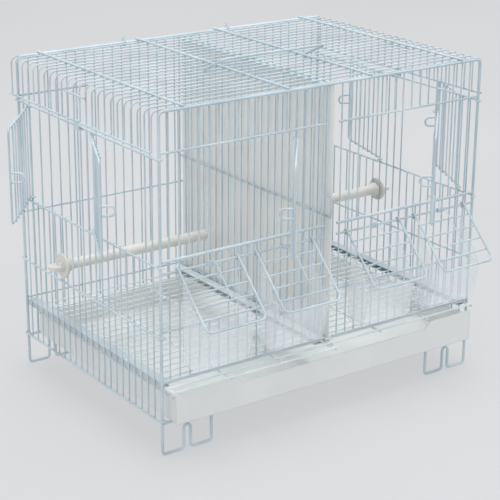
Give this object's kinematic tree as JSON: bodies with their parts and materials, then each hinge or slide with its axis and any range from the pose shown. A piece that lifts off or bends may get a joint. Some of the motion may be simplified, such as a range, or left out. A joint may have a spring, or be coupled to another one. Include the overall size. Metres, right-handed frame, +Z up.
{
  "type": "canary breeding cage",
  "caption": "Welded wire bird breeding cage with pull-out dividers, wire doors, sprung feeder hoods, clear hanging cups, perches, floor grates and a waste tray.",
  "frame": {"origin": "The middle of the whole cage as it stands, with its doors ajar, on the plane that its feet stand on.", "axes": "+X along the front to the right, +Y from the front to the back, +Z up."},
  "size_m": [0.569, 0.4064, 0.4149],
  "materials": {
    "coated_wire": "bluish white powder coat, semi-gloss",
    "sheet_steel": "powder coated sheet",
    "spring_wire": "zinc plated",
    "tray_moulding": "satin moulding",
    "divider_sheet": "satin sheet",
    "clear_moulding": "clear moulding",
    "perch_moulding": "ivory moulding"
  },
  "bodies": {
    "cage": {"front_top_wire": "coated_wire", "front_posts": "coated_wire", "front_rails": "coated_wire", "front_bars": "coated_wire", "back_top_wire": "coated_wire", "back_posts": "coated_wire", "back_rails": "coated_wire", "back_bars": "coated_wire", "feet": "coated_wire", "left_end_rails": "coated_wire", "left_end_bars": "coated_wire", "right_end_rails": "coated_wire", "right_end_bars": "coated_wire", "roof_bars": "coated_wire", "roof_bends": "coated_wire", "roof_crossbars": "coated_wire", "roof_skirts": "coated_wire", "roof_rungs": "coated_wire", "roof_ties": "coated_wire", "skirt_clips": "sheet_steel", "divider_guides": "coated_wire", "left_channel": "sheet_steel", "right_channel": "sheet_steel", "centre_channel": "sheet_steel", "cup_1": "clear_moulding", "cup_2": "clear_moulding", "cup_3": "clear_moulding", "cup_4": "clear_moulding", "left_perch": "perch_moulding", "right_perch": "perch_moulding", "left_perch_nut": "perch_moulding", "right_perch_nut": "perch_moulding"},
    "tray": {"tray": "tray_moulding"},
    "left_grille": {"left_grille": "coated_wire"},
    "right_grille": {"right_grille": "coated_wire"},
    "wire_divider": {"wire_divider": "coated_wire"},
    "sheet_divider": {"sheet_divider": "divider_sheet"},
    "left_front_door": {"left_front_door": "coated_wire", "left_front_latch": "coated_wire"},
    "right_front_door": {"right_front_door": "coated_wire", "right_front_latch": "coated_wire"},
    "left_end_front_door": {"left_end_front_door": "coated_wire", "left_end_front_latch": "coated_wire"},
    "left_end_back_door": {"left_end_back_door": "coated_wire", "left_end_back_latch": "coated_wire"},
    "right_end_front_door": {"right_end_front_door": "coated_wire", "right_end_front_latch": "coated_wire"},
    "right_end_back_door": {"right_end_back_door": "coated_wire", "right_end_back_latch": "coated_wire"},
    "handle": {"handle": "coated_wire"},
    "hood_1": {"hood_1": "coated_wire", "hood_spring_1": "spring_wire"},
    "hood_2": {"hood_2": "coated_wire", "hood_spring_2": "spring_wire"},
    "hood_3": {"hood_3": "coated_wire", "hood_spring_3": "spring_wire"},
    "hood_4": {"hood_4": "coated_wire", "hood_spring_4": "spring_wire"}
  },
  "joints": [
    {"name": "tray_slide", "type": "slide", "parent": "cage", "child": "tray", "axis": [0, -1, 0], "range_m": [0, 0.3]},
    {"name": "left_grille_slide", "type": "slide", "parent": "cage", "child": "left_grille", "axis": [0, -1, 0], "range_m": [-0.013, 0.28]},
    {"name": "right_grille_slide", "type": "slide", "parent": "cage", "child": "right_grille", "axis": [0, -1, 0], "range_m": [0, 0.28]},
    {"name": "wire_divider_slide", "type": "slide", "parent": "cage", "child": "wire_divider", "axis": [0, -1, 0], "range_m": [0, 0.3]},
    {"name": "sheet_divider_slide", "type": "slide", "parent": "cage", "child": "sheet_divider", "axis": [0, -1, 0], "range_m": [0, 0.3]},
    {"name": "left_front_door_hinge", "type": "hinge", "parent": "cage", "child": "left_front_door", "pos_m": [-0.0343, -0.11251, 0.285], "axis": [0, 0, 1], "range_deg": [-51.5, 53.5]},
    {"name": "right_front_door_hinge", "type": "hinge", "parent": "cage", "child": "right_front_door", "pos_m": [0.17142, -0.11251, 0.285], "axis": [0, 0, 1], "range_deg": [-47, 58]},
    {"name": "left_end_front_door_hinge", "type": "hinge", "parent": "cage", "child": "left_end_front_door", "pos_m": [-0.2152, 0.02059, 0.2825], "axis": [0, 0, -1], "range_deg": [-25, 80]},
    {"name": "left_end_back_door_hinge", "type": "hinge", "parent": "cage", "child": "left_end_back_door", "pos_m": [-0.2152, 0.16981, 0.2825], "axis": [0, 0, -1], "range_deg": [-39, 66]},
    {"name": "right_end_front_door_hinge", "type": "hinge", "parent": "cage", "child": "right_end_front_door", "pos_m": [0.2366, -0.08793, 0.2825], "axis": [0, 0, -1], "range_deg": [-25, 80]},
    {"name": "right_end_back_door_hinge", "type": "hinge", "parent": "cage", "child": "right_end_back_door", "pos_m": [0.2366, 0.06129, 0.2825], "axis": [0, 0, -1], "range_deg": [-14.5, 90.5]},
    {"name": "hood_1_hinge", "type": "hinge", "parent": "cage", "child": "hood_1", "pos_m": [-0.15336, -0.11461, 0.214], "axis": [-1, 0, 0], "range_deg": [-10, 50], "deforming": ["hood_spring_1"]},
    {"name": "hood_2_hinge", "type": "hinge", "parent": "cage", "child": "hood_2", "pos_m": [-0.0505, -0.11461, 0.214], "axis": [-1, 0, 0], "range_deg": [-10, 50], "deforming": ["hood_spring_2"]},
    {"name": "hood_3_hinge", "type": "hinge", "parent": "cage", "child": "hood_3", "pos_m": [0.07807, -0.11461, 0.214], "axis": [-1, 0, 0], "range_deg": [-10, 50], "deforming": ["hood_spring_3"]},
    {"name": "hood_4_hinge", "type": "hinge", "parent": "cage", "child": "hood_4", "pos_m": [0.18093, -0.11461, 0.214], "axis": [-1, 0, 0], "range_deg": [-10, 50], "deforming": ["hood_spring_4"]},
    {"name": "handle_hinge", "type": "hinge", "parent": "cage", "child": "handle", "pos_m": [0.0007, 0.01099, 0.3928], "axis": [1, 0, 0], "range_deg": [-130, 21]}
  ]
}
